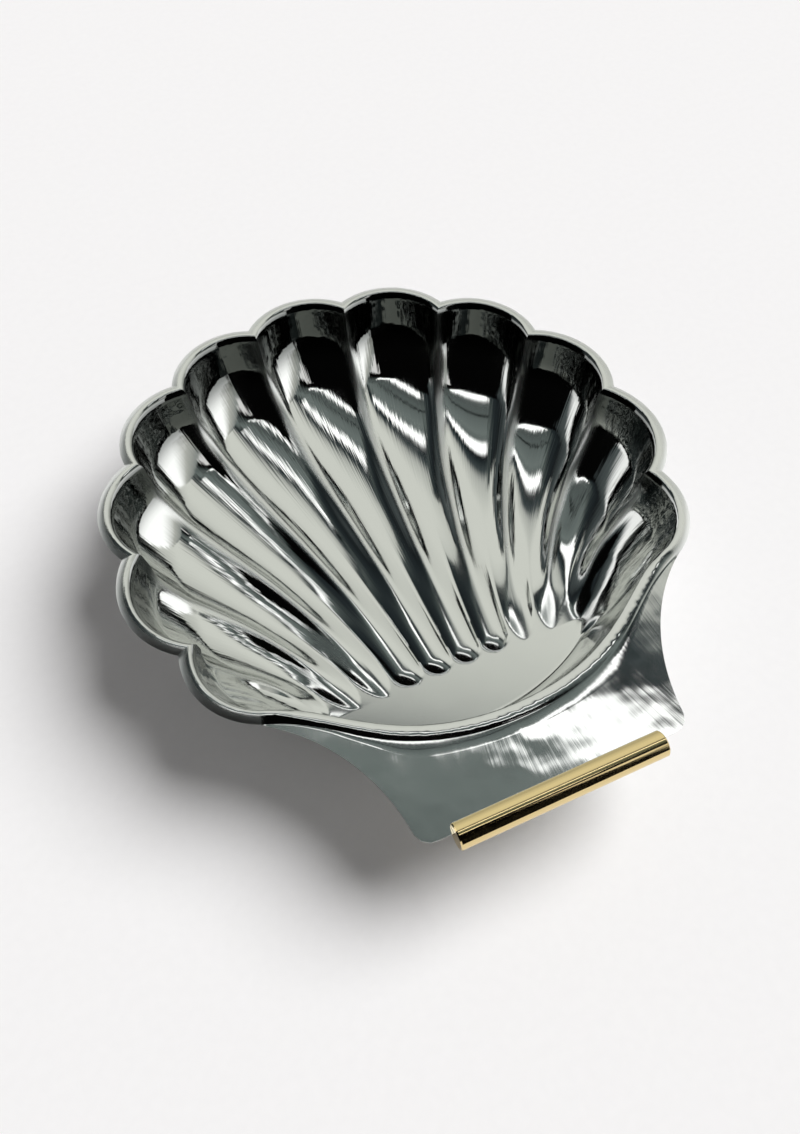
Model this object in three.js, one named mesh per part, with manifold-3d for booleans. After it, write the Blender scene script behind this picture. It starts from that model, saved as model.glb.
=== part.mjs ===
// Shell dish: a scallop pressed from one sheet of plated steel, with a slotted brass rod on its front tab.
// Millimetres, +Z up, +Y to the back of the shell. The origin is on the table, under the middle of the dish.
import * as THREE from 'three';
import { mergeVertices } from 'three/addons/utils/BufferGeometryUtils.js';
import Module from 'manifold-3d';

// Sheet and depth
const SHEET = 0.8; // thickness of the pressed sheet
const DEPTH = 39; // from the flange's outer edge down to the inside of the floor

// Back of the shell: ribs fan out to the cusps of the rim, and a lobe bulges between each two of them
const RIBS = 10;
const RING_RADIUS = 91.2; // circle through the cusps of the rim
const FAN_OFFSET = 10.2; // the point that the ribs fan out from lies this far outside that circle, in front
const FAN_PITCH = THREE.MathUtils.degToRad(11.36);
const LOBE_RISE = 8.4; // how far a lobe's edge stands out from the line between its cusps
const TIP_LINE = 53.1; // the ribs' inner ends lie on a line this far in front of the centre
const TIP_PITCH = 10.6;
const RIB_BOW = 0.28; // how far a rib's guide point leans to the middle, as a share of its sideways run

// Ribs: round fingers on the floor that turn to sharp ridges between hollow gutters
const FINGER_HEIGHT = 1.2; // near the inner end
const FINGER_NOSE = 4; // length of the blunt rounded end
const RIDGE_HEIGHT = 4.2; // that the rib grows towards before it sinks
const RIDGE_START = 0.55; // share of a rib's length where the finger has become a ridge
const FADE_START = 0.5; // the ridge sinks into the wall between these shares
const FADE_END = 0.9;
const RIDGE_SHARPNESS = 2.6; // power of the hollow cross-section beside a ridge
const OUTER_RIBS = 3; // slighter ribs on each side
const OUTER_RIB_NOSE = 16;
const OUTER_RIB_HEIGHT = 1;

// Walls, as the run from the rim to the floor and the power that bends it
const BACK_RUN = 130;
const BACK_BEND = 4.8;
const LIP_HEIGHT = 13; // the back wall's top steepens to a lip
const LIP_RUN = 11;
const LIP_BEND = 2;
const FOOT_PRESS = 0.25; // the underside is pressed flat where the floor has risen less than this
const FRONT_RUN = 14.5; // at the middle of the front
const FRONT_BEND = 1.5;
const FOOT_TURN = 0.4; // the front wall's foot turns this share of the way from the ribs' ends to its middle
const FOOT_FULLNESS = 26; // half width of the straight middle of that foot

// Rim flange: a rounded shoulder that droops to the cut edge
const FLANGE_WIDTH = 5;
const SHOULDER_RISE = 1.2; // crest of the shoulder over the cut edge
const SHOULDER_DROP = 1.9; // from the crest down to where the wall begins
const SHOULDER_SHARE = 0.36; // part of the flange's width that is the shoulder's inner side
const FLANGE_DROOP = 1.7; // power of the fall from the crest to the cut edge

// Front of the shell and its flat tab
const END_LOBE_RISE = 6.3;
const ROOT_X = 71; // where the tab's edge leaves the end lobe
const ROOT_Y = 63.8;
const FRONT_REACH = 87.2; // wall's top at the middle of the front
const FRONT_FULLNESS = 38; // half width of the straight middle of the front
const FRONT_SHOULDER_X = 50; // guide point of the front wall's shoulder
const FRONT_SHOULDER_Y = 65.6;
const TAB_LENGTH = 26.8; // from the wall's top to the tab's straight end
const TAB_HALF_WIDTH = 43.8;
const TAB_FLARE = 6; // hollow of the tab's sides
const TAB_CORNER = 5;
const TAB_FALL = 0.1; // slope of the tab and the front rim
const FALL_START = 62.6; // that slope begins this far in front of the ring's centre

// Brass rod handle
const ROD_DIAMETER = 8;
const ROD_LENGTH = 67;
const ROD_CHAMFER = 0.4;
const ROD_SIDES = 48;
const ROD_GRIP = 2.9; // how far the tab's end goes into the slot
const CLEARANCE = 0.25; // between the tab and the slot's walls

// Grid of the pressed sheet: stations across a lobe, then rows out to the rim and over the flange
const LOBE_STATIONS = [0, 0.07, 0.17, 0.32, 0.5, 0.68, 0.83, 0.93];
const END_STATIONS = 7;
const END_FOOT_SHARE = 0.14; // part of the front wall's foot that belongs to an end lobe
const FRONT_STATIONS = 17;
const HUB_ROWS = [0.5, 0.9];
const BOWL_ROWS = [0, 0.015, 0.035, 0.09, 0.18, 0.29, 0.4, 0.51, 0.62, 0.72, 0.8, 0.87, 0.92, 0.955, 0.98, 1];
const FLANGE_ROWS = [0.15, 0.36, 0.64];
const LIP_ROW = 0.88; // last row before the cut edge, where no tab carries on from the flange
const STEEPEST = 0.3; // least upward part of a normal that the sheet's thickness allows for

const CHROME = new THREE.MeshStandardMaterial({ color: 0xc9ccca, metalness: 1, roughness: 0.06 });
const BRASS = new THREE.MeshStandardMaterial({ color: 0xd8b268, metalness: 1, roughness: 0.15 });

const rimLevel = SHEET + DEPTH;
const fanDistance = RING_RADIUS + FAN_OFFSET;
const footReach = FRONT_REACH - FRONT_RUN;
const tabReach = FRONT_REACH + TAB_LENGTH;
const middle = new THREE.Vector2(0, -(TIP_LINE + footReach) / 2);
const lerp = THREE.MathUtils.lerp;
const smooth = THREE.MathUtils.smoothstep;
const between = (a, b, share) => a.clone().lerp(b, share);

// The tab and the front of the rim fall away together towards the handle
const fallAt = (y) => -TAB_FALL * Math.max(0, -FALL_START - y);

// A circular arc over a chord, bulging to the side that "outward" points to
function arcOver(start, end, rise, outward) {
  const half = start.distanceTo(end) / 2;
  const radius = (half * half + rise * rise) / (2 * rise);
  const side = new THREE.Vector2(start.y - end.y, end.x - start.x).normalize();
  if (side.dot(outward) < 0) side.negate();
  const centre = between(start, end, 0.5).addScaledVector(side, rise - radius);
  return { centre, radius };
}

function angleOf(point, centre) {
  return Math.atan2(point.y - centre.y, point.x - centre.x);
}

// A point on a circle, a share of the short way round from one point's bearing to another's
function alongArc(circle, radius, start, end, share) {
  const first = angleOf(start, circle.centre);
  const turn = Math.atan2(
    Math.sin(angleOf(end, circle.centre) - first),
    Math.cos(angleOf(end, circle.centre) - first),
  );
  const angle = first + turn * share;
  return new THREE.Vector2(Math.cos(angle), Math.sin(angle)).multiplyScalar(radius).add(circle.centre);
}

// Where two circles cross, the crossing nearer to a given point
function crossing(a, aRadius, b, bRadius, near) {
  const apart = a.centre.distanceTo(b.centre);
  const along = (aRadius * aRadius - bRadius * bRadius + apart * apart) / (2 * apart);
  const aside = Math.sqrt(Math.max(0, aRadius * aRadius - along * along));
  const direction = b.centre.clone().sub(a.centre).divideScalar(apart);
  const foot = a.centre.clone().addScaledVector(direction, along);
  const normal = new THREE.Vector2(-direction.y, direction.x).multiplyScalar(aside);
  const choices = [foot.clone().add(normal), foot.clone().sub(normal)];
  return choices[0].distanceTo(near) < choices[1].distanceTo(near) ? choices[0] : choices[1];
}

// The cusp where a rib's line of the fan meets the ring
function cuspOf(order) {
  const angle = FAN_PITCH * order;
  const reach = fanDistance * Math.cos(angle)
    + Math.sqrt(RING_RADIUS ** 2 - (fanDistance * Math.sin(angle)) ** 2);
  return new THREE.Vector2(reach * Math.sin(angle), reach * Math.cos(angle) - fanDistance);
}

const orders = Array.from({ length: RIBS }, (_, index) => index - (RIBS - 1) / 2);
const cusps = orders.map(cuspOf);
const root = new THREE.Vector2(ROOT_X, -ROOT_Y);
const mirrored = (point) => new THREE.Vector2(-point.x, point.y);

// Lobes from the left end to the right end: the end lobes run from the outer cusps to the tab's roots
const lastCusp = cusps[RIBS - 1];
const endChordMiddle = between(lastCusp, root, 0.5);
const rightEnd = arcOver(lastCusp, root, END_LOBE_RISE, endChordMiddle.clone().sub(middle));
const leftEnd = { centre: mirrored(rightEnd.centre), radius: rightEnd.radius };
const backLobes = cusps.slice(1).map((cusp, index) => {
  const start = cusps[index];
  return arcOver(start, cusp, LOBE_RISE, between(start, cusp, 0.5));
});
const lobes = [leftEnd, ...backLobes, rightEnd];

// Each rib as a bowed plan curve from its finger tip to the inner cusp of the wall's top
const ribs = orders.map((order, index) => {
  const left = lobes[index];
  const right = lobes[index + 1];
  const rim = crossing(left, left.radius - FLANGE_WIDTH, right, right.radius - FLANGE_WIDTH, cusps[index]);
  const tip = new THREE.Vector2(TIP_PITCH * order, -TIP_LINE);
  const run = rim.clone().sub(tip);
  const aside = new THREE.Vector2(-run.y, run.x).normalize().multiplyScalar(Math.sign(order));
  const guide = between(tip, rim, 0.5).addScaledVector(aside, RIB_BOW * Math.abs(run.x));
  const outer = Math.min(index, RIBS - 1 - index) < OUTER_RIBS;
  return {
    curve: new THREE.QuadraticBezierCurve(tip, guide, rim),
    height: outer ? OUTER_RIB_HEIGHT : FINGER_HEIGHT,
    nose: outer ? OUTER_RIB_NOSE : FINGER_NOSE,
  };
});

// Edge of the tab's right half: a hollow side, a rounded corner and half of the straight end
const flareEnd = new THREE.Vector2(TAB_HALF_WIDTH, -tabReach + TAB_CORNER);
const flare = arcOver(root, flareEnd, TAB_FLARE, middle.clone().sub(root));
const tabEdge = new THREE.Path();
tabEdge.moveTo(root.x, root.y);
tabEdge.absarc(
  flare.centre.x, flare.centre.y, flare.radius,
  angleOf(root, flare.centre), angleOf(flareEnd, flare.centre), false,
);
tabEdge.absarc(TAB_HALF_WIDTH - TAB_CORNER, flareEnd.y, TAB_CORNER, 0, -Math.PI / 2, true);
tabEdge.lineTo(0, -tabReach);

// Wall's top round the front, from the end lobe to the middle of the front
const endRim = alongArc(rightEnd, rightEnd.radius - FLANGE_WIDTH, lastCusp, root, 1);
const frontRim = new THREE.CubicBezierCurve(
  endRim,
  new THREE.Vector2(FRONT_SHOULDER_X, -FRONT_SHOULDER_Y),
  new THREE.Vector2(FRONT_FULLNESS, -FRONT_REACH),
  new THREE.Vector2(0, -FRONT_REACH),
);

// Foot of the front wall on the floor, from the outer rib's tip to the middle of the front
const outerTip = ribs[RIBS - 1].curve.v0;
const frontFoot = new THREE.CubicBezierCurve(
  outerTip,
  new THREE.Vector2(outerTip.x, -lerp(TIP_LINE, footReach, FOOT_TURN)),
  new THREE.Vector2(FOOT_FULLNESS, -footReach),
  new THREE.Vector2(0, -footReach),
);

// A station is one line of the grid from the floor's middle to the cut edge: its plan curve over the bowl,
// its point on the edge, and how its wall falls. "forward" is 0 over the lobes and 1 on the front wall, and
// "aside" is 0 on the nearest rib and 1 in the middle of the gutter beside it.
function station(curve, edge, forward, onTab, rib, aside) {
  return {
    curve,
    edge,
    onTab,
    rib,
    aside,
    bead: onTab ? FLANGE_WIDTH : curve.v2.distanceTo(edge),
    run: lerp(BACK_RUN, curve.getLength(), forward),
    bend: lerp(BACK_BEND, FRONT_BEND, forward),
    lip: lerp(LIP_HEIGHT, 0, forward),
  };
}

function lobeStations(index) {
  const lobe = backLobes[index];
  const left = ribs[index].curve;
  const right = ribs[index + 1].curve;
  return LOBE_STATIONS.map((share) => {
    const rim = alongArc(lobe, lobe.radius - FLANGE_WIDTH, left.v2, right.v2, share);
    const edge = alongArc(lobe, lobe.radius, cusps[index], cusps[index + 1], share);
    const tip = between(left.v0, right.v0, share);
    const guide = between(left.v1, right.v1, share);
    const nearest = ribs[index + Math.round(share)];
    const aside = 2 * Math.min(share, 1 - share);
    return station(new THREE.QuadraticBezierCurve(tip, guide, rim), edge, 0, false, nearest, aside);
  });
}

// Station over the front wall, from its foot to its top. In the end lobe "forward" goes from 0 at the outer
// rib, whose bow it shares, to 1 at the tab's root.
function frontStation(rim, foot, edge, forward, onTab) {
  const outerRib = ribs[RIBS - 1];
  const straight = between(foot, rim, 0.5);
  const guide = between(outerRib.curve.v1, straight, smooth(forward, 0, 1));
  const curve = new THREE.QuadraticBezierCurve(foot, guide, rim);
  return station(curve, edge, smooth(forward, 0, 1), onTab, outerRib, 2 * forward);
}

function rightFrontStations() {
  const first = ribs[RIBS - 1].curve.v2;
  const stations = [];
  for (let step = 0; step < END_STATIONS; step += 1) {
    const share = step / END_STATIONS;
    const rim = alongArc(rightEnd, rightEnd.radius - FLANGE_WIDTH, first, root, share);
    const edge = alongArc(rightEnd, rightEnd.radius, lastCusp, root, share);
    stations.push(frontStation(rim, frontFoot.getPointAt(share * END_FOOT_SHARE), edge, share, false));
  }
  for (let step = 0; step <= FRONT_STATIONS; step += 1) {
    const share = step / FRONT_STATIONS;
    const foot = frontFoot.getPointAt(lerp(END_FOOT_SHARE, 1, share));
    stations.push(frontStation(frontRim.getPointAt(share), foot, tabEdge.getPointAt(share), 1, share > 0));
  }
  return stations;
}

function mirroredStation(original) {
  const { v0, v1, v2 } = original.curve;
  const curve = new THREE.QuadraticBezierCurve(mirrored(v0), mirrored(v1), mirrored(v2));
  return { ...original, curve, edge: mirrored(original.edge) };
}

// Height that the nearest rib adds, for a share of the way from its tip to the rim. Its cross-section is a
// round finger at the hub and a ridge with hollow flanks further out.
function ribHeight(line, share) {
  const { rib, aside } = line;
  const noseLeft = Math.max(0, 1 - share * rib.curve.getLength() / rib.nose);
  const offset = Math.min(1, Math.hypot(aside, noseLeft));
  const outward = smooth(share, 0, RIDGE_START);
  const height = lerp(rib.height, RIDGE_HEIGHT, outward) * (1 - smooth(share, FADE_START, FADE_END));
  return height * lerp(1 - offset * offset, (1 - offset) ** RIDGE_SHARPNESS, outward);
}

// Inner surface of the bowl: the floor, the wall's bend up to the rim, and the ribs
function bowlPoint(line, share) {
  const point = line.curve.getPoint(share);
  const left = line.curve.getLength() * (1 - share);
  return new THREE.Vector3(point.x, point.y, wallHeight(line, left) + ribHeight(line, share));
}

function wallHeight(line, distance) {
  const top = rimLevel + SHOULDER_RISE - SHOULDER_DROP + fallAt(line.curve.v2.y);
  const wall = (top - line.lip - SHEET) * Math.max(0, 1 - distance / line.run) ** line.bend;
  const lip = line.lip * Math.max(0, 1 - distance / LIP_RUN) ** LIP_BEND;
  return SHEET + wall + lip;
}

function hubPoint(line, share) {
  const tip = line.curve.v0;
  const point = between(middle, tip, share);
  const left = line.curve.getLength() + tip.distanceTo(point);
  return new THREE.Vector3(point.x, point.y, wallHeight(line, left));
}

// Flange from the wall's top outwards: up over the shoulder, then drooping to the edge's level
function flangePoint(line, share) {
  const rim = line.curve.v2;
  const outward = line.edge.clone().sub(rim).normalize();
  const point = rim.clone().addScaledVector(outward, line.bead * share);
  const rising = Math.max(0, 1 - share / SHOULDER_SHARE);
  const falling = Math.max(0, (share - SHOULDER_SHARE) / (1 - SHOULDER_SHARE));
  const height = SHOULDER_RISE * (1 - falling ** FLANGE_DROOP) - SHOULDER_DROP * rising ** 2;
  return new THREE.Vector3(point.x, point.y, rimLevel + height + fallAt(point.y));
}

function edgePoint(line) {
  return new THREE.Vector3(line.edge.x, line.edge.y, rimLevel + fallAt(line.edge.y));
}

// One line of the grid, from beside the floor's middle out to the cut edge
function gridLine(line) {
  const lastRow = line.onTab ? 1 : LIP_ROW;
  return [
    ...HUB_ROWS.map((share) => hubPoint(line, share)),
    ...BOWL_ROWS.map((share) => bowlPoint(line, share)),
    ...FLANGE_ROWS.map((share) => flangePoint(line, share)),
    flangePoint(line, lastRow),
    edgePoint(line),
  ];
}

// The sheet's underside lies straight below its top, by the thickness measured square to the slope, and is
// pressed flat where it meets the table
function undersideOf(points, triangles) {
  const normals = points.map(() => new THREE.Vector3());
  const edgeA = new THREE.Vector3();
  const edgeB = new THREE.Vector3();
  for (const [a, b, c] of triangles) {
    edgeA.subVectors(points[b], points[a]);
    edgeB.subVectors(points[c], points[a]);
    const normal = edgeA.clone().cross(edgeB);
    for (const corner of [a, b, c]) normals[corner].add(normal);
  }
  return points.map((point, index) => {
    const steepness = 1 / Math.max(STEEPEST, normals[index].normalize().z);
    const height = point.z - SHEET * steepness;
    return new THREE.Vector3(point.x, point.y, height > FOOT_PRESS ? height : 0);
  });
}

function solidFrom(points, triangles) {
  const geometry = new THREE.BufferGeometry();
  const coordinates = points.flatMap((point) => point.toArray());
  geometry.setAttribute('position', new THREE.Float32BufferAttribute(coordinates, 3));
  geometry.setIndex(triangles.flat());
  geometry.computeVertexNormals();
  return geometry;
}

function shellDish() {
  const front = rightFrontStations();
  const leftFront = front.slice(1, -1).reverse().map(mirroredStation);
  const stations = [...backLobes.flatMap((_, index) => lobeStations(index)), ...front, ...leftFront];
  const lines = stations.map(gridLine);
  const rows = lines[0].length;
  const top = [new THREE.Vector3(middle.x, middle.y, SHEET), ...lines.flat()];
  const at = (line, row) => 1 + (line % lines.length) * rows + row;
  const faces = [];
  for (let line = 0; line < lines.length; line += 1) {
    faces.push([0, at(line + 1, 0), at(line, 0)]);
    for (let row = 0; row < rows - 1; row += 1) {
      const corners = [at(line, row), at(line + 1, row), at(line + 1, row + 1), at(line, row + 1)];
      faces.push([corners[0], corners[1], corners[2]], [corners[0], corners[2], corners[3]]);
    }
  }
  const underside = undersideOf(top, faces);
  const below = top.length;
  const shell = [...faces, ...faces.map(([a, b, c]) => [below + a, below + c, below + b])];
  for (let line = 0; line < lines.length; line += 1) {
    const first = at(line, rows - 1);
    const second = at(line + 1, rows - 1);
    shell.push([first, second, below + second], [first, below + second, below + first]);
  }
  return solidFrom([...top, ...underside], shell);
}

// Closed geometry to a solid that can be cut, and back
const wasm = await Module();
wasm.setup();

function toSolid(geometry) {
  const bare = geometry.clone();
  bare.deleteAttribute('normal');
  bare.deleteAttribute('uv');
  const merged = mergeVertices(bare);
  return new wasm.Manifold(new wasm.Mesh({
    numProp: 3,
    vertProperties: Float32Array.from(merged.attributes.position.array),
    triVerts: Uint32Array.from(merged.index.array),
  }));
}

function fromSolid(solid) {
  const mesh = solid.getMesh();
  const geometry = new THREE.BufferGeometry();
  geometry.setAttribute('position', new THREE.Float32BufferAttribute(mesh.vertProperties, 3));
  geometry.setIndex(Array.from(mesh.triVerts));
  geometry.computeVertexNormals();
  return geometry;
}

// Turned rod along X with broken end edges, sawn lengthwise on its back for the tab
function handleRod() {
  const radius = ROD_DIAMETER / 2;
  const half = ROD_LENGTH / 2;
  const profile = [
    new THREE.Vector2(0, -half),
    new THREE.Vector2(radius - ROD_CHAMFER, -half),
    new THREE.Vector2(radius, -half + ROD_CHAMFER),
    new THREE.Vector2(radius, half - ROD_CHAMFER),
    new THREE.Vector2(radius - ROD_CHAMFER, half),
    new THREE.Vector2(0, half),
  ];
  const rod = new THREE.LatheGeometry(profile, ROD_SIDES).rotateZ(Math.PI / 2);
  const depth = ROD_GRIP + CLEARANCE;
  const slot = new THREE.BoxGeometry(ROD_LENGTH + ROD_DIAMETER, depth * 2, SHEET + 2 * CLEARANCE);
  slot.translate(0, radius, 0);
  return fromSolid(toSolid(rod).subtract(toSolid(slot)));
}

const dish = new THREE.Mesh(shellDish(), CHROME);
dish.name = 'shell_dish';

// The rod lies in the tab's own plane, with the tab's end in its slot
const fallAngle = Math.atan(TAB_FALL);
const rod = new THREE.Mesh(handleRod(), BRASS);
rod.name = 'handle_rod';
rod.position.set(0, ROD_GRIP - ROD_DIAMETER / 2, 0);
const tabEnd = new THREE.Group();
tabEnd.position.set(0, -tabReach, rimLevel + fallAt(-tabReach) - SHEET / 2 / Math.cos(fallAngle));
tabEnd.rotation.x = fallAngle;
tabEnd.add(rod);

// The part's own origin is under the middle of its length
const backReach = cusps[RIBS / 2].y + LOBE_RISE;
const frontReach = tabReach + (ROD_DIAMETER / 2 - ROD_GRIP) * Math.cos(fallAngle) + ROD_DIAMETER / 2;
const group = new THREE.Group();
group.position.y = (frontReach - backReach) / 2;
group.add(dish, tabEnd);

export default group;
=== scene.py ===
import bpy
import math
from mathutils import Matrix, Vector


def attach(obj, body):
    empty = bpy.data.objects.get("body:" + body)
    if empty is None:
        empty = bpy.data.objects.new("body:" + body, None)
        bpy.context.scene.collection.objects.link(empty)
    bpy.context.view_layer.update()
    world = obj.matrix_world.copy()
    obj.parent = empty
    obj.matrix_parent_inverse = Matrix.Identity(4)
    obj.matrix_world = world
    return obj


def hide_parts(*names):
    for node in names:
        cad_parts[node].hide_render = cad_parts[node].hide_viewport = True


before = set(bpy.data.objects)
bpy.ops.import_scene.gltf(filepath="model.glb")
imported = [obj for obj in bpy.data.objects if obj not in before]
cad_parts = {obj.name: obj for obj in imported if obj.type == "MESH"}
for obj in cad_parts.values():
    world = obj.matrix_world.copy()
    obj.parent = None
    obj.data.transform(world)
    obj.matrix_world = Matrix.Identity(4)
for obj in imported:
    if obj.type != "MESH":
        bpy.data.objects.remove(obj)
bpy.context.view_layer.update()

# Pressed dish
# One sheet of steel, drawn in a fluted tool, trimmed along its lobed rim and chrome plated to a mirror.
# The flat blank's grid is laid out here, and a node tree presses it to the bowl, the ribs and the flange.
mm = 0.001
sheet = 0.8 * mm
rim_level = 39.8 * mm

# The lobed rim and the fan of ribs
rib_count = 10
ring_radius = 91.2 * mm
fan_distance = 101.4 * mm
fan_pitch = math.radians(11.36)
lobe_rise = 8.4 * mm
end_lobe_rise = 6.3 * mm
tip_line = 53.1 * mm
tip_pitch = 10.6 * mm
rib_bow = 0.28
finger_height = 1.5 * mm
finger_nose = 6 * mm
outer_ribs = 3
outer_rib_height = 1 * mm
outer_rib_nose = 16 * mm
ridge_height = 4.2 * mm
ridge_start = 0.55
ridge_sharpness = 2.6
fade_start = 0.5
fade_end = 0.9

# How far beside a rib, and where along it, its crest is rounded
crest_width = 0.25
crest_start = 0.03
crest_full = 0.1
crest_fall = 0.9
crest_end = 0.98
crest_rounding = 30

# The walls, the lip under the rim with its swell, and the flange
back_run = 130 * mm
back_bend = 4.8
lip_height = 13 * mm
lip_run = 4.5 * mm
lip_bend = 1.5
swell_share = 0.48
swell_run = 16 * mm
swell_bend = 1.3
front_run = 14.5 * mm
front_bend = 1.6
foot_turn = 0.4
foot_fullness = 26 * mm
end_foot_share = 0.14
flange_width = 5 * mm
shoulder_rise = 1.2 * mm
shoulder_drop = 1.9 * mm
shoulder_share = 0.36
flange_droop = 1.7

# The front rim and the tab
root = Vector((71 * mm, -63.8 * mm))
front_reach = 87.2 * mm
front_fullness = 38 * mm
front_shoulder = Vector((50 * mm, -65.6 * mm))
tab_reach = 114 * mm
tab_half_width = 43.8 * mm
tab_flare = 6 * mm
tab_corner = 5 * mm
tab_fall = 0.1
fall_start = 62.6 * mm
tab_shoulder_share = 0.6
tab_shoulder_drop = 0.8 * mm
tab_shoulder_rise = 0.5 * mm
origin_shift = 10.743 * mm

# The grid of the blank: columns crowd at the ribs, rows at both ends of a column
lobe_columns = 24
end_columns = 18
front_columns = 40
tab_bead_columns = 8
column_crowding = 0.85
hub_rows = 5
hub_start = 0.15
hub_spread = 0.8
bowl_rows = 90
row_crowding = 0.8
flange_rows = 10
last_flange_row = 0.97
tab_rows = 6
path_steps = 200
foot_steps = 400
wall_steps = 40
rib_steps = 20
far_aside = 9

# Where the polish is duller, and where the sheet keeps a slight ripple from the press
hub_satin = 0.2
hub_satin_end = 0.3
flange_satin = 1
tab_satin = 0.1
crest_satin = 0.9
crest_satin_start = 0.2
crest_satin_ease = 0.2
crest_share = 0.2
front_ripple = 2
lip_ripple_start = 0.93
front_ripple_start = 0.8
ripple_ease = 0.05
ripple_over_shoulder = 0.6


# The centre and radius of an arc that bulges outward by a rise between two points
def arc_over(start, end, rise, outward):
    half = (end - start).length / 2
    radius = (half * half + rise * rise) / (2 * rise)
    side = Vector((start.y - end.y, end.x - start.x)).normalized()
    if side.dot(outward) < 0:
        side.negate()
    return (start + end) / 2 + side * (rise - radius), radius


def bearing(point, centre):
    return math.atan2(point.y - centre.y, point.x - centre.x)


# A point of a circle, a share of the way round from one bearing to another
def along_arc(centre, radius, start, end, share):
    first = bearing(start, centre)
    turn = math.remainder(bearing(end, centre) - first, math.tau)
    angle = first + turn * share
    return centre + radius * Vector((math.cos(angle), math.sin(angle)))


# Where two circles cross, on the side that is near a point
def crossing(first, first_radius, second, second_radius, near):
    apart = (second - first).length
    reach = (first_radius ** 2 - second_radius ** 2 + apart ** 2) / (2 * apart)
    aside = math.sqrt(max(0, first_radius ** 2 - reach ** 2))
    direction = (second - first) / apart
    normal = Vector((-direction.y, direction.x)) * aside
    foot = first + direction * reach
    return min((foot + normal, foot - normal), key=lambda point: (point - near).length)


# A point of a Bezier curve, by repeated blending of its guide points
def bezier(points, share):
    while len(points) > 1:
        points = [first.lerp(second, share) for first, second in zip(points, points[1:])]
    return points[0]


def curve_length(points, steps):
    path = [bezier(points, step / steps) for step in range(steps + 1)]
    return sum((second - first).length for first, second in zip(path, path[1:]))


# Points at equal steps along a path that is given as many points
def even_points(path, count):
    reach = [0]
    for first, second in zip(path, path[1:]):
        reach.append(reach[-1] + (second - first).length)
    picked = []
    place = 0
    for step in range(count + 1):
        wanted = reach[-1] * step / count
        while place < len(path) - 2 and reach[place + 1] < wanted:
            place += 1
        share = (wanted - reach[place]) / (reach[place + 1] - reach[place])
        picked.append(path[place].lerp(path[place + 1], share))
    return picked


def smooth(share):
    share = min(1, max(0, share))
    return share * share * (3 - 2 * share)


def blend(first, second, share):
    return first + (second - first) * share


def mirrored(point):
    return Vector((-point.x, point.y))


# The rim's level, which falls towards the handle
def level_at(y):
    return rim_level - tab_fall * max(0, -fall_start - y)


orders = [index - (rib_count - 1) / 2 for index in range(rib_count)]
cusps = []
for order in orders:
    angle = fan_pitch * order
    across = fan_distance * math.sin(angle)
    reach = fan_distance * math.cos(angle) + math.sqrt(ring_radius ** 2 - across ** 2)
    cusps.append(Vector((reach * math.sin(angle), reach * math.cos(angle) - fan_distance)))
foot_reach = front_reach - front_run
middle = Vector((0, -(tip_line + foot_reach) / 2))
end_centre, end_radius = arc_over(cusps[-1], root, end_lobe_rise, (cusps[-1] + root) / 2 - middle)
lobes = [(mirrored(end_centre), end_radius)]
for first, second in zip(cusps, cusps[1:]):
    lobes.append(arc_over(first, second, lobe_rise, first + second))
lobes.append((end_centre, end_radius))

# Each rib in plan, a bowed curve from its tip on the floor to the rim
ribs = []
for index, order in enumerate(orders):
    (left, left_radius), (right, right_radius) = lobes[index], lobes[index + 1]
    rim = crossing(left, left_radius - flange_width, right, right_radius - flange_width, cusps[index])
    tip = Vector((tip_pitch * order, -tip_line))
    run = rim - tip
    lean = Vector((-run.y, run.x)).normalized() * math.copysign(rib_bow * abs(run.x), order)
    outer = min(index, rib_count - 1 - index) < outer_ribs
    ribs.append(([tip, (tip + rim) / 2 + lean, rim], outer))

# Columns of the blank, each a curve from the floor to the wall's top and a point on the trimmed edge.
# "Forward" is 0 over the lobes and 1 at the front wall, "aside" is 0 on a rib and 1 in mid-lobe.
columns = []
for index in range(rib_count - 1):
    centre, radius = lobes[index + 1]
    left, right = ribs[index][0], ribs[index + 1][0]
    for step in range(lobe_columns):
        share = step / lobe_columns
        share = blend(share, smooth(share), column_crowding)
        rim = along_arc(centre, radius - flange_width, left[2], right[2], share)
        edge = along_arc(centre, radius, cusps[index], cusps[index + 1], share)
        curve = [left[0].lerp(right[0], share), left[1].lerp(right[1], share), rim]
        rib = ribs[index] if share < 0.5 else ribs[index + 1]
        columns.append((curve, edge, 0, 0, rib, 2 * min(share, 1 - share)))

# The right half of the front: its rim, the foot of its wall and the tab's edge
steps = [step / path_steps for step in range(path_steps + 1)]
last_tip = ribs[-1][0][0]
end_rim = along_arc(end_centre, end_radius - flange_width, cusps[-1], root, 1)
rim_guides = [end_rim, front_shoulder, Vector((front_fullness, -front_reach)), Vector((0, -front_reach))]
foot_guides = [
    last_tip,
    Vector((last_tip.x, -blend(tip_line, foot_reach, foot_turn))),
    Vector((foot_fullness, -foot_reach)),
    Vector((0, -foot_reach)),
]
front_rim = even_points([bezier(rim_guides, step) for step in steps], front_columns)
front_foot = even_points([bezier(foot_guides, step) for step in steps], foot_steps)
flare_end = Vector((tab_half_width, tab_corner - tab_reach))
flare_centre, flare_radius = arc_over(root, flare_end, tab_flare, middle - root)
corner_centre = Vector((tab_half_width - tab_corner, flare_end.y))
tab_edge = [along_arc(flare_centre, flare_radius, root, flare_end, step) for step in steps]
for step in steps[1:]:
    angle = -step * math.pi / 2
    tab_edge.append(corner_centre + tab_corner * Vector((math.cos(angle), math.sin(angle))))
tab_edge.append(Vector((0, -tab_reach)))
tab_edge = even_points(tab_edge, front_columns)


def front_column(rim, foot_share, edge, forward, on_tab, aside):
    foot = front_foot[round(foot_share * foot_steps)]
    guide = ribs[-1][0][1].lerp((foot + rim) / 2, smooth(forward))
    return [foot, guide, rim], edge, smooth(forward), on_tab, ribs[-1], aside


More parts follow.
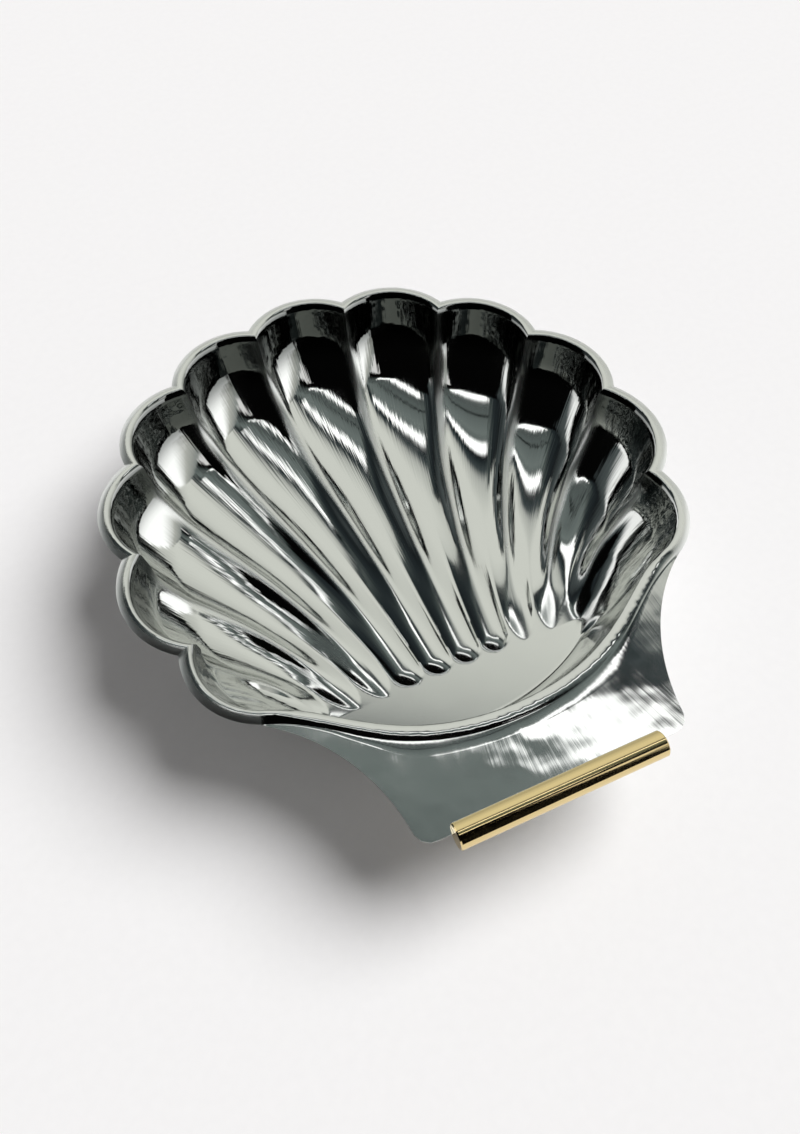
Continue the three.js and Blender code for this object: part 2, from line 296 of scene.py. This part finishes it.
right_columns = []
for step in range(end_columns):
    share = step / end_columns
    rim = along_arc(end_centre, end_radius - flange_width, ribs[-1][0][2], root, share)
    edge = along_arc(end_centre, end_radius, cusps[-1], root, share)
    right_columns.append(front_column(rim, share * end_foot_share, edge, share, 0, 2 * share))
for step in range(front_columns + 1):
    foot_share = blend(end_foot_share, 1, step / front_columns)
    on_tab = min(1, step / tab_bead_columns)
    right_columns.append(front_column(front_rim[step], foot_share, tab_edge[step], 1, on_tab, far_aside))
columns += right_columns
for curve, edge, forward, on_tab, rib, aside in right_columns[-2:0:-1]:
    columns.append(([mirrored(point) for point in curve], mirrored(edge), forward, on_tab, rib, aside))

# Every point of the blank carries what the press and the plate need to know of its place.
# What a point isn't given is 0 there.
names = (
    "left", "run", "bend", "lip", "level", "along", "aside", "nose", "rib_height", "flange", "satin",
    "lane", "ripple", "shoulder", "drop", "base", "shade", "tab", "rise")
points = []
places = []


def lay(point, **known):
    points.append((point.x, point.y, 0))
    places.append(known)


on_the_floor = 1
off_ribs = {"aside": far_aside, "nose": 1}
at_middle = {
    "run": back_run,
    "bend": back_bend,
    "shoulder": shoulder_share,
    "drop": shoulder_drop,
    "rise": shoulder_rise,
}
lay(middle, **at_middle, **off_ribs, left=on_the_floor, level=rim_level, satin=hub_satin)
lane = 0
last_rim = columns[0][0][2]
for curve, edge, forward, on_tab, rib, aside in columns:
    tip, rim = curve[0], curve[2]
    lane += (rim - last_rim).length
    last_rim = rim
    length = curve_length(curve, wall_steps)
    run = blend(back_run, length, forward)
    bend = blend(back_bend, front_bend, forward)
    level = level_at(rim.y)
    crest_at = blend(shoulder_share, tab_shoulder_share, smooth(on_tab))
    in_column = {
        "run": run,
        "bend": bend,
        "base": max(0, 1 - length / run) ** bend,
        "lip": lip_height * (1 - forward),
        "shoulder": crest_at,
        "drop": blend(shoulder_drop, tab_shoulder_drop, smooth(on_tab)),
        "rise": blend(shoulder_rise, tab_shoulder_rise, smooth(on_tab)),
        "lane": lane,
    }
    rib_plan, outer = rib
    rib_length = curve_length(rib_plan, rib_steps)
    rib_height = outer_rib_height if outer else finger_height
    nose_length = outer_rib_nose if outer else finger_nose
    for row in range(hub_rows):
        point = middle.lerp(tip, hub_start + hub_spread * row / (hub_rows - 1))
        lay(point, **in_column, **off_ribs, left=on_the_floor, level=level, satin=hub_satin)
    for row in range(bowl_rows + 1):
        along = row / bowl_rows
        along = blend(along, smooth(along), row_crowding)
        nose = max(0, 1 - along * rib_length / nose_length)
        on_crest = (1 - smooth(aside / crest_share)) * smooth((along - crest_satin_start) / crest_satin_ease)
        satin = max(hub_satin * (1 - smooth(along / hub_satin_end)), crest_satin * on_crest)
        ripple_start = blend(lip_ripple_start, front_ripple_start, forward)
        ripple = smooth((along - ripple_start) / ripple_ease) * blend(1, front_ripple, forward)
        # Over the lobes the rippled lip under the rim gets painted shade, a darker plate colour
        shade = min(1, ripple) * (1 - forward)
        lay(
            bezier(curve, along), **in_column, left=length * (1 - along), level=level, along=along,
            aside=aside, nose=nose, rib_height=rib_height, satin=satin, ripple=ripple, shade=shade)
    outward = (edge - rim).normalized()
    width = flange_width if on_tab else (edge - rim).length
    for row in range(1, flange_rows + 1):
        share = row / flange_rows if on_tab or row < flange_rows else last_flange_row
        bead = rim + outward * width * share
        satin = tab_satin if on_tab else flange_satin * smooth(share / shoulder_share - 1)
        ripple = (1 - smooth(share / crest_at - ripple_over_shoulder)) * blend(1, front_ripple, forward)
        # Over the lobes that painted shade fades out across the flange towards its shoulder
        shade = (1 - forward) * (1 - smooth(share / crest_at))
        lay(
            bead, **in_column, **off_ribs, level=level_at(bead.y), along=1, flange=share, satin=satin,
            ripple=ripple, shade=shade)
    for row in range(1, tab_rows + 1):
        point = bead.lerp(edge, row / tab_rows)
        lay(
            point, **in_column, **off_ribs, level=level_at(point.y), along=1,
            flange=blend(share, 1, row / tab_rows), satin=satin, tab=smooth(on_tab))
rows = (len(points) - 1) // len(columns)
faces = []
for index in range(len(columns)):
    here = 1 + index * rows
    there = 1 + (index + 1) % len(columns) * rows
    faces.append((0, there, here))
    for row in range(rows - 1):
        faces.append((here + row, there + row, there + row + 1, here + row + 1))
blank = bpy.data.meshes.new("blank")
blank.from_pydata([(x, y + origin_shift, z) for x, y, z in points], [], faces)
for name in names:
    values = blank.attributes.new(name, "FLOAT", "POINT")
    values.data.foreach_set("value", [place.get(name, 0) for place in places])


# A node with its settings, and with each input linked to a socket or set to a value
def add(tree, kind, settings, inputs):
    made = tree.nodes.new(kind)
    for name, value in settings.items():
        setattr(made, name, value)
    for key, value in inputs.items():
        if isinstance(value, bpy.types.NodeSocket):
            tree.links.new(value, made.inputs[key])
        else:
            made.inputs[key].default_value = value
    return made


press = bpy.data.node_groups.new("press", "GeometryNodeTree")
press.interface.new_socket("Geometry", in_out="INPUT", socket_type="NodeSocketGeometry")
press.interface.new_socket("Geometry", in_out="OUTPUT", socket_type="NodeSocketGeometry")
press_sizes = {
    "Sheet": sheet,
    "Lip Run": lip_run,
    "Lip Bend": lip_bend,
    "Swell Share": swell_share,
    "Swell Run": swell_run,
    "Swell Bend": swell_bend,
    "Ridge Height": ridge_height,
    "Ridge Start": ridge_start,
    "Ridge Sharpness": ridge_sharpness,
    "Fade Start": fade_start,
    "Fade End": fade_end,
    "Flange Droop": flange_droop,
    "Crest Width": crest_width,
    "Crest Start": crest_start,
    "Crest Full": crest_full,
    "Crest Fall": crest_fall,
    "Crest End": crest_end,
}
for name in press_sizes:
    press.interface.new_socket(name, in_out="INPUT", socket_type="NodeSocketFloat")
given = add(press, "NodeGroupInput", {}, {}).outputs
place = {}
for name in names:
    reader = add(press, "GeometryNodeInputNamedAttribute", {"data_type": "FLOAT"}, {"Name": name})
    place[name] = reader.outputs[0]

# A range node takes a value from between inputs 1 and 2 to between inputs 3 and 4
math_node = "ShaderNodeMath"
range_node = "ShaderNodeMapRange"
divide = {"operation": "DIVIDE"}
plus = {"operation": "ADD"}
minus = {"operation": "SUBTRACT"}
times = {"operation": "MULTIPLY"}
times_plus = {"operation": "MULTIPLY_ADD"}
power = {"operation": "POWER"}
clamped = {"use_clamp": True}
eased = {"interpolation_type": "SMOOTHSTEP"}

# The wall falls from the rim as a power of the distance, with a steep lip at its top that swells out below
spent = add(press, math_node, divide, {0: place["left"], 1: place["run"]}).outputs[0]
kept = add(press, math_node, {**minus, **clamped}, {0: 1.0, 1: spent}).outputs[0]
bent = add(press, math_node, power, {0: kept, 1: place["bend"]}).outputs[0]
steep = add(press, range_node, {}, {0: bent, 1: place["base"], 2: 1.0, 3: 0.0, 4: 1.0}).outputs[0]
crest = add(press, math_node, plus, {0: place["level"], 1: place["rise"]}).outputs[0]
top = add(press, math_node, minus, {0: crest, 1: place["drop"]}).outputs[0]
under_lip = add(press, math_node, minus, {0: top, 1: place["lip"]}).outputs[0]
drawn = add(press, math_node, minus, {0: under_lip, 1: given["Sheet"]}).outputs[0]
slope = add(press, math_node, times_plus, {0: drawn, 1: steep, 2: given["Sheet"]}).outputs[0]
down_lip = {0: place["left"], 1: 0.0, 2: given["Lip Run"], 3: 1.0, 4: 0.0}
lip_left = add(press, range_node, {}, down_lip).outputs[0]
lip_curl = add(press, math_node, power, {0: lip_left, 1: given["Lip Bend"]}).outputs[0]
down_swell = {0: place["left"], 1: 0.0, 2: given["Swell Run"], 3: 1.0, 4: 0.0}
swell_left = add(press, range_node, {}, down_swell).outputs[0]
swell = add(press, math_node, power, {0: swell_left, 1: given["Swell Bend"]}).outputs[0]
lip_to_swell = {0: given["Swell Share"], 1: 0.0, 2: 1.0, 3: lip_curl, 4: swell}
lip_curl = add(press, range_node, {}, lip_to_swell).outputs[0]
wall = add(press, math_node, times_plus, {0: lip_curl, 1: place["lip"], 2: slope}).outputs[0]

# Ribs start as round fingers, sharpen to ridges with hollow gutters between them, and sink into the lip
out_to_ridge = {0: place["along"], 1: 0.0, 2: given["Ridge Start"]}
outward = add(press, range_node, eased, {**out_to_ridge, 3: 0.0, 4: 1.0}).outputs[0]
finger_to_ridge = {**out_to_ridge, 3: place["rib_height"], 4: given["Ridge Height"]}
height = add(press, range_node, {}, finger_to_ridge).outputs[0]
sinking = {0: place["along"], 1: given["Fade Start"], 2: given["Fade End"], 3: 1.0, 4: 0.0}
fade = add(press, range_node, eased, sinking).outputs[0]
aside_square = add(press, math_node, times, {0: place["aside"], 1: place["aside"]}).outputs[0]
nose_square = add(press, math_node, times, {0: place["nose"], 1: place["nose"]}).outputs[0]
away_square = add(press, math_node, {**plus, **clamped}, {0: aside_square, 1: nose_square}).outputs[0]
away = add(press, math_node, {"operation": "SQRT"}, {0: away_square}).outputs[0]
finger = add(press, math_node, minus, {0: 1.0, 1: away_square}).outputs[0]
near = add(press, math_node, minus, {0: 1.0, 1: away}).outputs[0]
ridge = add(press, math_node, power, {0: near, 1: given["Ridge Sharpness"]}).outputs[0]
section = add(press, range_node, {}, {0: outward, 1: 0.0, 2: 1.0, 3: finger, 4: ridge}).outputs[0]
faded = add(press, math_node, times, {0: height, 1: fade}).outputs[0]
bowl = add(press, math_node, times_plus, {0: faded, 1: section, 2: wall}).outputs[0]

# The flange goes up over a shoulder and droops to the cut edge
up_shoulder = {0: place["flange"], 1: 0.0, 2: place["shoulder"], 3: 1.0, 4: 0.0}
rising = add(press, range_node, {}, up_shoulder).outputs[0]
past_shoulder = {0: place["flange"], 1: place["shoulder"], 2: 1.0, 3: 0.0, 4: 1.0}
falling = add(press, range_node, {}, past_shoulder).outputs[0]
droop = add(press, math_node, power, {0: falling, 1: given["Flange Droop"]}).outputs[0]
held = add(press, math_node, minus, {0: 1.0, 1: droop}).outputs[0]
shoulder = add(press, math_node, times_plus, {0: held, 1: place["rise"], 2: place["level"]}).outputs[0]
rising_square = add(press, math_node, times, {0: rising, 1: rising}).outputs[0]
hollow = add(press, math_node, times, {0: rising_square, 1: place["drop"]}).outputs[0]
flange = add(press, math_node, minus, {0: shoulder, 1: hollow}).outputs[0]
on_flange = add(press, math_node, {"operation": "GREATER_THAN"}, {0: place["flange"], 1: 0.0}).outputs[0]
pressed = add(press, range_node, {}, {0: on_flange, 1: 0.0, 2: 1.0, 3: bowl, 4: flange}).outputs[0]
offset = add(press, "ShaderNodeCombineXYZ", {}, {"Z": pressed}).outputs[0]
lifted = {"Geometry": given["Geometry"], "Offset": offset}
shaped = add(press, "GeometryNodeSetPosition", {}, lifted).outputs[0]

# The press rounds the crests of the ribs
by_crest = {0: place["aside"], 1: 0.0, 2: given["Crest Width"], 3: 1.0, 4: 0.0}
beside = add(press, range_node, eased, by_crest).outputs[0]
from_tip = {0: place["along"], 1: given["Crest Start"], 2: given["Crest Full"], 3: 0.0, 4: 1.0}
past_tip = add(press, range_node, eased, from_tip).outputs[0]
to_rim = {0: place["along"], 1: given["Crest Fall"], 2: given["Crest End"], 3: 1.0, 4: 0.0}
below_rim = add(press, range_node, eased, to_rim).outputs[0]
on_bowl = add(press, math_node, times, {0: past_tip, 1: below_rim}).outputs[0]
on_crest = add(press, math_node, times, {0: on_bowl, 1: beside}).outputs[0]
spot = add(press, "GeometryNodeInputPosition", {}, {}).outputs[0]
softened = {"Value": spot, "Iterations": crest_rounding, "Weight": on_crest}
eased_spot = add(press, "GeometryNodeBlurAttribute", {"data_type": "FLOAT_VECTOR"}, softened).outputs[0]
rounded = add(press, "GeometryNodeSetPosition", {}, {"Geometry": shaped, "Position": eased_spot}).outputs[0]
smoothed = add(press, "GeometryNodeSetShadeSmooth", {}, {"Geometry": rounded}).outputs[0]
whole = add(press, "GeometryNodeRealizeInstances", {}, {"Geometry": smoothed}).outputs[0]


# An sRGB hex colour as the linear colour that shaders take
def colour(code):
    parts = [int(code[place:place + 2], 16) / 255 for place in (1, 3, 5)]
    linear = [part / 12.92 if part <= 0.04045 else ((part + 0.055) / 1.055) ** 2.4 for part in parts]
    return (*linear, 1.0)


# Chrome plate over polished steel: a clear mirror with a few soft smears of handling, polishing lines down
# the walls, drawn coarser than they are to show, a ripple by the rim and a slow sway in the tab.
# The recess under the back rim gets painted shade: a darker colour, for the light that is lost between
# mirrors there.
plate_colour = colour("#d6d8d5")
painted_shade_colour = colour("#5f6260")
smear_size = 16.67 * mm
smear_low = 0.35
smear_high = 0.75
mirror_roughness = 0.03
smeared_roughness = 0.09
satin_roughness = 0.3
line_spacing = 0.9091 * mm
line_depth = 0.04 * mm
line_wander = 4 * mm
line_start = 0.05
line_full = 0.6
flange_line_share = 0.25
flange_ease = 0.1
ripple_size = 2.222 * mm
ripple_depth = 0.06 * mm
sway_size = 9.091 * mm
sway_depth = 0.14 * mm
noise_node = "ShaderNodeTexNoise"
chrome = bpy.data.materials.new("chrome_plate_mirror_polish")
chrome.use_nodes = True
tree = chrome.node_tree
shader = tree.nodes["Principled BSDF"]
shader.inputs["Metallic"].default_value = 1.0
where = add(tree, "ShaderNodeTexCoord", {}, {}).outputs["Object"]
marks = {}
for name in ("shade", "satin", "lane", "along", "flange", "ripple", "tab"):
    marks[name] = add(tree, "ShaderNodeAttribute", {"attribute_name": name}, {}).outputs["Fac"]
# Painted shade: where the shade mark is, the plate colour turns darker
into_painted_shade = {"Factor": marks["shade"], "A": plate_colour, "B": painted_shade_colour}
plate = add(tree, "ShaderNodeMix", {"data_type": "RGBA"}, into_painted_shade).outputs["Result"]
tree.links.new(plate, shader.inputs["Base Color"])
smears = add(tree, noise_node, {}, {"Vector": where, "Scale": 1 / smear_size, "Detail": 4.0}).outputs["Fac"]
handled = {0: smears, 1: smear_low, 2: smear_high, 3: mirror_roughness, 4: smeared_roughness}
buffed = add(tree, range_node, {}, handled).outputs[0]
rough = add(tree, math_node, times_plus, {0: marks["satin"], 1: satin_roughness, 2: buffed}).outputs[0]
tree.links.new(rough, shader.inputs["Roughness"])
drift = add(tree, math_node, times, {0: marks["along"], 1: line_wander}).outputs[0]
strip = add(tree, "ShaderNodeCombineXYZ", {}, {"X": marks["lane"], "Y": drift}).outputs[0]
lines = add(tree, noise_node, {}, {"Vector": strip, "Scale": 1 / line_spacing, "Detail": 2.0}).outputs["Fac"]
onto_flange = {0: marks["flange"], 1: 0.0, 2: flange_ease, 3: 1.0, 4: flange_line_share}
fainter = add(tree, range_node, {}, onto_flange).outputs[0]
up_wall = {0: marks["along"], 1: line_start, 2: line_full, 3: 0.0, 4: line_depth}
deeper = add(tree, range_node, {}, up_wall).outputs[0]
depth = add(tree, math_node, times, {0: fainter, 1: deeper}).outputs[0]
fine = add(tree, math_node, times, {0: lines, 1: depth}).outputs[0]
waves = add(tree, noise_node, {}, {"Vector": where, "Scale": 1 / ripple_size, "Detail": 0.0}).outputs["Fac"]
wavy = add(tree, math_node, times, {0: waves, 1: ripple_depth}).outputs[0]
relief = add(tree, math_node, times_plus, {0: marks["ripple"], 1: wavy, 2: fine}).outputs[0]
sway = add(tree, noise_node, {}, {"Vector": where, "Scale": 1 / sway_size, "Detail": 1.0}).outputs["Fac"]
sway_height = add(tree, math_node, times, {0: marks["tab"], 1: sway_depth}).outputs[0]
relief = add(tree, math_node, times_plus, {0: sway, 1: sway_height, 2: relief}).outputs[0]
grain = add(tree, "ShaderNodeBump", {}, {"Strength": 1.0, "Distance": 1.0, "Height": relief}).outputs[0]
tree.links.new(grain, shader.inputs["Normal"])

# The blank goes through the press, gets the sheet's thickness downwards, and its cut edge is broken
edge_break = 0.25 * mm
edge_steps = 3
edge_angle = math.radians(60)
plated = add(press, "GeometryNodeSetMaterial", {}, {"Geometry": whole, "Material": chrome}).outputs[0]
add(press, "NodeGroupOutput", {}, {"Geometry": plated})
flat = bpy.data.objects.new("blank", blank)
bpy.context.collection.objects.link(flat)
pressing = flat.modifiers.new("press", "NODES")
pressing.node_group = press
for item in press.interface.items_tree:
    if item.name in press_sizes:
        pressing[item.identifier] = press_sizes[item.name]
bpy.context.view_layer.update()
evaluated = flat.evaluated_get(bpy.context.evaluated_depsgraph_get())
dish = bpy.data.objects.new("pressed_dish", bpy.data.meshes.new_from_object(evaluated))
bpy.context.collection.objects.link(dish)
bpy.data.objects.remove(flat)
thickness = dish.modifiers.new("thickness", "SOLIDIFY")
thickness.thickness = sheet
thickness.offset = -1
thickness.use_even_offset = True
trimmed = dish.modifiers.new("trimmed edge", "BEVEL")
trimmed.width = edge_break
trimmed.segments = edge_steps
trimmed.limit_method = "ANGLE"
trimmed.angle_limit = edge_angle
trimmed.harden_normals = True
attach(dish, "root")
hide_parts("shell_dish")

# Handle rod
# A solid brass rod, turned with broken end edges, sawn lengthwise and pressed on the tab's straight end.
# It is polished along its length.
rod_radius = 4 * mm
rod_half = 33.5 * mm
rod_chamfer = 0.4 * mm
rod_grip = 2.9 * mm
clearance = 0.25 * mm
rod_arc_steps = 72
rod_edge_angle = math.radians(30)
slot_half = sheet / 2 + clearance
slot_floor = rod_radius - rod_grip - clearance
rod_points = []
rings = [
    (-rod_half, rod_radius - rod_chamfer),
    (-rod_half + rod_chamfer, rod_radius),
    (rod_half - rod_chamfer, rod_radius),
    (rod_half, rod_radius - rod_chamfer),
]
for x, radius in rings:
    opening = math.asin(slot_half / radius)
    rod_points.append((x, slot_floor, slot_half))
    for step in range(rod_arc_steps + 1):
        angle = blend(opening, math.tau - opening, step / rod_arc_steps)
        rod_points.append((x, radius * math.cos(angle), radius * math.sin(angle)))
    rod_points.append((x, slot_floor, -slot_half))
ring_size = rod_arc_steps + 3
last_ring = len(rings) - 1
rod_faces = [
    tuple(reversed(range(ring_size))),
    tuple(range(last_ring * ring_size, len(rings) * ring_size)),
]
for ring in range(last_ring):
    for step in range(ring_size):
        here = ring * ring_size + step
        there = ring * ring_size + (step + 1) % ring_size
        rod_faces.append((here, there, there + ring_size, here + ring_size))
fall_angle = math.atan(tab_fall)
tab_end_level = level_at(-tab_reach) - sheet / 2 / math.cos(fall_angle)
tab_end = Vector((0, origin_shift - tab_reach, tab_end_level))
tilt = Matrix.Translation(tab_end) @ Matrix.Rotation(fall_angle, 4, "X")
seat = tilt @ Matrix.Translation((0, rod_grip - rod_radius, 0))
rod_mesh = bpy.data.meshes.new("handle_rod")
rod_mesh.from_pydata([seat @ Vector(point) for point in rod_points], [], rod_faces)

# Polished brass: a warm, slightly soft mirror with fine lines along the rod, drawn coarse enough to show
brass_colour = colour("#e6d09a")
brass_line_spacing = 0.4 * mm
brass_line_stretch = (0.05, 1.0, 1.0)
brass_line_low = 0.3
brass_line_high = 0.7
brass_smooth = 0.05
brass_dull = 0.13
brass = bpy.data.materials.new("brass_polished")
brass.use_nodes = True
tree = brass.node_tree
shader = tree.nodes["Principled BSDF"]
shader.inputs["Metallic"].default_value = 1.0
shader.inputs["Base Color"].default_value = brass_colour
where = add(tree, "ShaderNodeTexCoord", {}, {}).outputs["Object"]
stretched = add(tree, "ShaderNodeMapping", {}, {"Vector": where, "Scale": brass_line_stretch}).outputs[0]
line_pattern = {"Vector": stretched, "Scale": 1 / brass_line_spacing, "Detail": 3.0}
lines = add(tree, noise_node, {}, line_pattern).outputs["Fac"]
polished = {0: lines, 1: brass_line_low, 2: brass_line_high, 3: brass_smooth, 4: brass_dull}
rough = add(tree, range_node, {}, polished).outputs[0]
tree.links.new(rough, shader.inputs["Roughness"])
rod_mesh.materials.append(brass)
for face in rod_mesh.polygons:
    face.use_smooth = len(face.vertices) == 4
rod_mesh.set_sharp_from_angle(angle=rod_edge_angle)
rod = bpy.data.objects.new("brass_handle_rod", rod_mesh)
bpy.context.collection.objects.link(rod)
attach(rod, "root")
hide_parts("handle_rod")

# Floor
# The pale table top that the dish stands on, covered with matt white paper.
# It is a stage for the object, and no part of it.
floor_half = 1500 * mm
floor_mesh = bpy.data.meshes.new("floor")
floor_turns = ((-1, -1), (1, -1), (1, 1), (-1, 1))
floor_corners = [(x * floor_half, y * floor_half, 0) for x, y in floor_turns]
floor_mesh.from_pydata(floor_corners, [], [(0, 1, 2, 3)])
floor = bpy.data.objects.new("floor", floor_mesh)
bpy.context.collection.objects.link(floor)

# Matt white paper: an even white, with the faintest cloud of fibres
paper_light = colour("#f6f5f5")
paper_dark = colour("#f2f1f1")
paper_roughness = 0.9
fibre_size = 3.333 * mm
paper = bpy.data.materials.new("matt_white_paper")
paper.use_nodes = True
tree = paper.node_tree
shader = tree.nodes["Principled BSDF"]
shader.inputs["Roughness"].default_value = paper_roughness
where = add(tree, "ShaderNodeTexCoord", {}, {}).outputs["Object"]
fibres = add(tree, noise_node, {}, {"Vector": where, "Scale": 1 / fibre_size, "Detail": 3.0}).outputs["Fac"]
clouded = {"Factor": fibres, "A": paper_light, "B": paper_dark}
sheet_white = add(tree, "ShaderNodeMix", {"data_type": "RGBA"}, clouded).outputs["Result"]
tree.links.new(sheet_white, shader.inputs["Base Color"])
floor_mesh.materials.append(paper)

# Studio
# A room with two long lamps under its ceiling, dark at the front, a pale sweep at the back and white boards
# at the sides. It is made of flat glowing panels that only reflections see.
studio_turn = Matrix.Rotation(math.radians(-34), 4, "Z")
room_side = 1500
room_height = 1400
room_back = 2000
front_wall = -420
ceiling_front = -200
sweep_top = 640
dark_front_end = 720
right_board_front = -2600
left_board_front = -1500
left_ceiling_side = -700
left_ceiling_back = 1000
left_ceiling_height = 1380
lamp_height = 1390
lamp_left = -650
lamp_right = 700
front_lamp_near = -184
front_lamp_far = -84
back_lamp_near = 283
back_lamp_far = 423
seam_height = 1395
seam_side = 1400
seam_near = 40
seam_far = 62

# Each panel has its first and last corner in mm, the axis of its first edge, and the shades from that edge to
# the opposite one: where, which colour and how bright
along_x = 0
along_y = 1
studio = {
    "ceiling": (
        (-room_side, ceiling_front, room_height), (room_side, sweep_top, room_height), along_x, [
            (0.0, "#202424", 1.0), (0.25, "#626a69", 1.0), (0.5, "#7c8583", 1.0), (0.74, "#14181a", 1.0),
            (0.8, "#2a3235", 1.0), (0.88, "#4a5254", 1.0), (0.96, "#c4c6c1", 1.0), (1.0, "#d0d2cc", 1.0)]),
    "left_ceiling": (
        (left_ceiling_side, ceiling_front, left_ceiling_height),
        (-room_side, left_ceiling_back, left_ceiling_height), along_y, [
            (0.0, "#59615f", 1.0), (0.3, "#2b3235", 1.0), (1.0, "#1a1f21", 1.0)]),
    "sweep": (
        (-room_side, sweep_top, room_height), (room_side, room_back, 0), along_x, [
            (0.0, "#d0d2cc", 1.0), (0.08, "#eeefe8", 1.0), (0.3, "#eeefe8", 1.0), (1.0, "#c0c2bc", 1.0)]),
    "dark_front": (
        (-room_side, front_wall, 0), (dark_front_end, front_wall, room_height), along_x, [
            (0.0, "#050505", 1.0), (1.0, "#050505", 1.0)]),
    "dark_ceiling": (
        (-room_side, front_wall, room_height), (room_side, ceiling_front, room_height), along_x, [
            (0.0, "#050505", 1.0), (1.0, "#050505", 1.0)]),
    "right_board": (
        (room_side, right_board_front, 0), (room_side, room_back, room_height), along_y, [
            (0.0, "#b0b3b0", 1.0), (0.06, "#ffffff", 1.5), (0.55, "#ffffff", 1.5), (0.75, "#c8c9c3", 1.0),
            (1.0, "#8a908e", 1.0)]),
    "left_board": (
        (-room_side, left_board_front, 0), (-room_side, room_back, room_height), along_y, [
            (0.0, "#ffffff", 1.2), (0.3, "#ffffff", 1.2), (0.45, "#565d5e", 1.0), (1.0, "#262b2d", 1.0)]),
    "front_lamp": (
        (lamp_left, front_lamp_near, lamp_height), (lamp_right, front_lamp_far, lamp_height), along_x, [
            (0.0, "#202424", 1.0), (0.3, "#ffffff", 2.0), (0.7, "#ffffff", 2.0), (1.0, "#626a69", 1.0)]),
    "back_lamp": (
        (lamp_left, back_lamp_near, lamp_height), (lamp_right, back_lamp_far, lamp_height), along_x, [
            (0.0, "#7c8583", 1.0), (0.3, "#ffffff", 2.0), (0.7, "#ffffff", 2.0), (1.0, "#14181a", 1.0)]),
    "ceiling_seam": (
        (-seam_side, seam_near, seam_height), (seam_side, seam_far, seam_height), along_x, [
            (0.0, "#0c0e0f", 1.0), (1.0, "#0c0e0f", 1.0)]),
}
for name, (first, last, axis, stops) in studio.items():
    first_end = [*first]
    first_end[axis] = last[axis]
    last_end = [*last]
    last_end[axis] = first[axis]
    corners = [first, first_end, last, last_end]
    panel_mesh = bpy.data.meshes.new(name)
    panel_mesh.from_pydata([studio_turn @ Vector(corner) * mm for corner in corners], [], [(0, 1, 2, 3)])
    layer = panel_mesh.uv_layers.new(name="across")
    for corner, spread in zip(layer.data, ((0, 0), (1, 0), (1, 1), (0, 1))):
        corner.uv = spread
    glow = bpy.data.materials.new("studio_" + name)
    glow.use_nodes = True
    tree = glow.node_tree
    tree.nodes.clear()
    across = add(tree, "ShaderNodeUVMap", {"uv_map": "across"}, {}).outputs[0]
    height = add(tree, "ShaderNodeSeparateXYZ", {}, {"Vector": across}).outputs["Y"]
    ramp = add(tree, "ShaderNodeValToRGB", {}, {"Fac": height})
    shades = ramp.color_ramp.elements
    for index, (position, code, strength) in enumerate(stops):
        stop = shades[index] if index < 2 else shades.new(position)
        stop.position = position
        stop.color = [part * strength for part in colour(code)[:3]] + [1.0]
    light = add(tree, "ShaderNodeEmission", {}, {"Color": ramp.outputs[0], "Strength": 1.0}).outputs[0]
    add(tree, "ShaderNodeOutputMaterial", {}, {"Surface": light})
    panel_mesh.materials.append(glow)
    panel = bpy.data.objects.new("studio_" + name, panel_mesh)
    bpy.context.collection.objects.link(panel)
    panel.visible_camera = False
    panel.visible_diffuse = False
    panel.visible_shadow = False

# Lamp
# A wide soft lamp over the right of the table, for the floor's light and shadow.
# Reflections don't see it, because the studio's panels stand for the lamps there.
lamp_spread = math.radians(42)
lamp_strength = 3.4
lamp_aim = Vector((-1.0, -0.03, -1.2))
lamp_data = bpy.data.lights.new("soft_lamp", "SUN")
lamp_data.angle = lamp_spread
lamp_data.energy = lamp_strength
lamp = bpy.data.objects.new("soft_lamp", lamp_data)
bpy.context.collection.objects.link(lamp)
lamp.rotation_euler = lamp_aim.to_track_quat("-Z", "Y").to_euler()
lamp.visible_glossy = False

# World
# A white room behind everything, with little light of its own.
# It is white wherever it is seen, mirrored or seen through.
room_white = colour("#f5f3f3")
room_light = 0.2
world = bpy.data.worlds.new("white_room")
world.use_nodes = True
bpy.context.scene.world = world
tree = world.node_tree
larger = {"operation": "MAXIMUM"}
ray = add(tree, "ShaderNodeLightPath", {}, {}).outputs
seen = add(tree, math_node, larger, {0: ray["Is Camera Ray"], 1: ray["Is Glossy Ray"]}).outputs[0]
seen = add(tree, math_node, larger, {0: seen, 1: ray["Is Transmission Ray"]}).outputs[0]
strength = add(tree, range_node, {}, {0: seen, 1: 0.0, 2: 1.0, 3: room_light, 4: 1.0}).outputs[0]
background = tree.nodes["Background"]
background.inputs["Color"].default_value = room_white
tree.links.new(strength, background.inputs["Strength"])

# Camera
# Placed where the photograph was taken from, with the same lens.
# It looks down over the handle into the bowl.
camera_place = (-86.08 * mm, -180.717 * mm, 303.09 * mm)
camera_heading = -24.903
camera_looks_down = 56.148
camera_roll = 0.2585
lens_length = 31.85
sensor_width = 36
camera_data = bpy.data.cameras.new("camera")
camera_data.lens = lens_length
camera_data.sensor_width = sensor_width
camera = bpy.data.objects.new("camera", camera_data)
bpy.context.collection.objects.link(camera)
bpy.context.scene.camera = camera
heading = Matrix.Rotation(math.radians(camera_heading), 4, "Z")
tilted = Matrix.Rotation(math.radians(90 - camera_looks_down), 4, "X")
rolled = Matrix.Rotation(math.radians(camera_roll), 4, "Z")
camera.matrix_world = Matrix.Translation(camera_place) @ heading @ tilted @ rolled

bpy.context.scene.view_settings.view_transform = "Standard"
